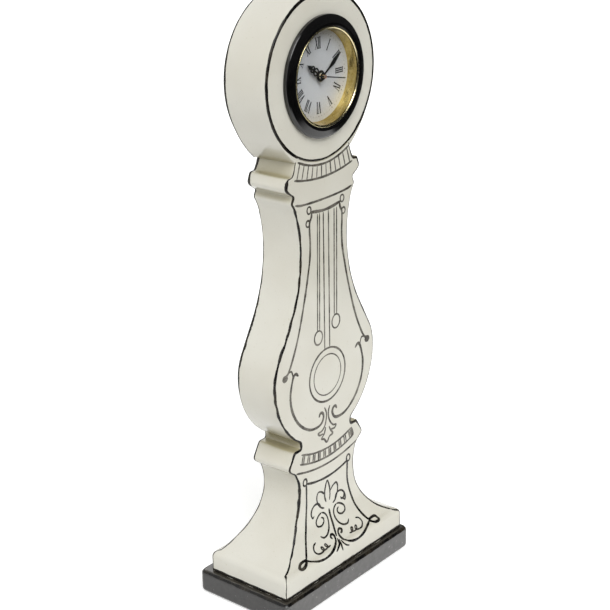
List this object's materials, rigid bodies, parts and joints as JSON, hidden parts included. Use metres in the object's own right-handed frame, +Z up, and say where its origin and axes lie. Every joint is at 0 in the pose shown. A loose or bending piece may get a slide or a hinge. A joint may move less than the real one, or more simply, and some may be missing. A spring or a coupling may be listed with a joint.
{
  "type": "table clock",
  "caption": "Free-standing ceramic table clock shaped like a small longcase clock, with a round head, a battery clock insert, a waisted body, a flared foot and a black plinth.",
  "frame": {"origin": "on the standing surface, under the middle of the plinth", "axes": "+Z up, the dial faces -Y, +X to the right seen from the front"},
  "size_m": [0.1046, 0.0596, 0.3116],
  "materials": {
    "cream_glaze": "gloss",
    "black_glaze": "gloss",
    "felt": "matte",
    "black_lacquer": "gloss",
    "gilt": "polished",
    "clear_window": "polished",
    "silvered_dial": "satin",
    "black_moulding": "satin",
    "grip_rubber": "matte",
    "white_moulding": "satin",
    "steel": "satin",
    "copper_wire": "gloss",
    "green_board": "satin",
    "spring_brass": "satin",
    "wheel_resin": "satin",
    "magnet": "satin",
    "black_hands": "satin"
  },
  "bodies": {
    "case": {"case_body": "cream_glaze", "plinth": "black_glaze", "felt_pads": "felt"},
    "insert": {"bezel": "black_lacquer", "bezel_liner": "gilt", "lens": "clear_window", "reflector_ring": "gilt", "dial": "silvered_dial", "movement_cup": "black_moulding", "grip_ring": "grip_rubber", "front_plate": "white_moulding", "back_plate": "white_moulding", "plate_screws": "steel", "coil_core": "steel", "coil_winding": "copper_wire", "stator": "steel", "circuit_board": "green_board", "driver_chip": "black_moulding", "quartz_crystal": "steel", "battery_cell": "steel", "negative_contact": "spring_brass", "positive_contact": "spring_brass"},
    "seconds": {"second_wheel": "wheel_resin", "second_hand": "black_hands"},
    "third": {"third_wheel": "wheel_resin"},
    "centre": {"centre_wheel": "wheel_resin"},
    "intermediate": {"intermediate_wheel": "wheel_resin"},
    "rotor": {"rotor_pinion": "wheel_resin", "rotor_magnet": "magnet"},
    "minute": {"cannon_pinion": "spring_brass", "minute_hand": "black_hands"},
    "setting": {"minute_wheel": "wheel_resin", "setting_knob": "black_moulding"},
    "hour": {"hour_wheel": "wheel_resin", "hour_hand": "black_hands"},
    "hatch": {"battery_hatch": "black_moulding"}
  },
  "joints": [
    {"name": "insert_pull", "type": "slide", "parent": "case", "child": "insert", "axis": [0, -1, 0], "range_m": [0, 0.03]},
    {"name": "second_spin", "type": "hinge", "parent": "insert", "child": "seconds", "pos_m": [0, 0, 0.27087], "axis": [0, 1, 0], "continuous": true},
    {"name": "third_spin", "type": "hinge", "parent": "insert", "child": "third", "pos_m": [0.009, 0, 0.27087], "axis": [0, 1, 0], "continuous": true},
    {"name": "centre_spin", "type": "hinge", "parent": "insert", "child": "centre", "pos_m": [0, 0, 0.27087], "axis": [0, 1, 0], "continuous": true},
    {"name": "intermediate_spin", "type": "hinge", "parent": "insert", "child": "intermediate", "pos_m": [-0.0091, 0, 0.27087], "axis": [0, 1, 0], "continuous": true},
    {"name": "rotor_spin", "type": "hinge", "parent": "insert", "child": "rotor", "pos_m": [-0.01254, 0, 0.27578], "axis": [0, 1, 0], "continuous": true},
    {"name": "minute_spin", "type": "hinge", "parent": "insert", "child": "minute", "pos_m": [0, 0, 0.27087], "axis": [0, 1, 0], "continuous": true},
    {"name": "setting_spin", "type": "hinge", "parent": "insert", "child": "setting", "pos_m": [0, 0, 0.28047], "axis": [0, 1, 0], "continuous": true},
    {"name": "hour_spin", "type": "hinge", "parent": "insert", "child": "hour", "pos_m": [0, 0, 0.27087], "axis": [0, 1, 0], "continuous": true},
    {"name": "hatch_slide", "type": "slide", "parent": "insert", "child": "hatch", "axis": [0, 0, 1], "range_m": [0, 0.0132]}
  ],
  "couplings": [
    {"joint": "third_spin", "follows": "second_spin", "ratio": -0.13333},
    {"joint": "centre_spin", "follows": "second_spin", "ratio": 0.016667},
    {"joint": "intermediate_spin", "follows": "second_spin", "ratio": -6},
    {"joint": "rotor_spin", "follows": "second_spin", "ratio": 30},
    {"joint": "setting_spin", "follows": "minute_spin", "ratio": -0.33333},
    {"joint": "hour_spin", "follows": "minute_spin", "ratio": 0.083333}
  ]
}
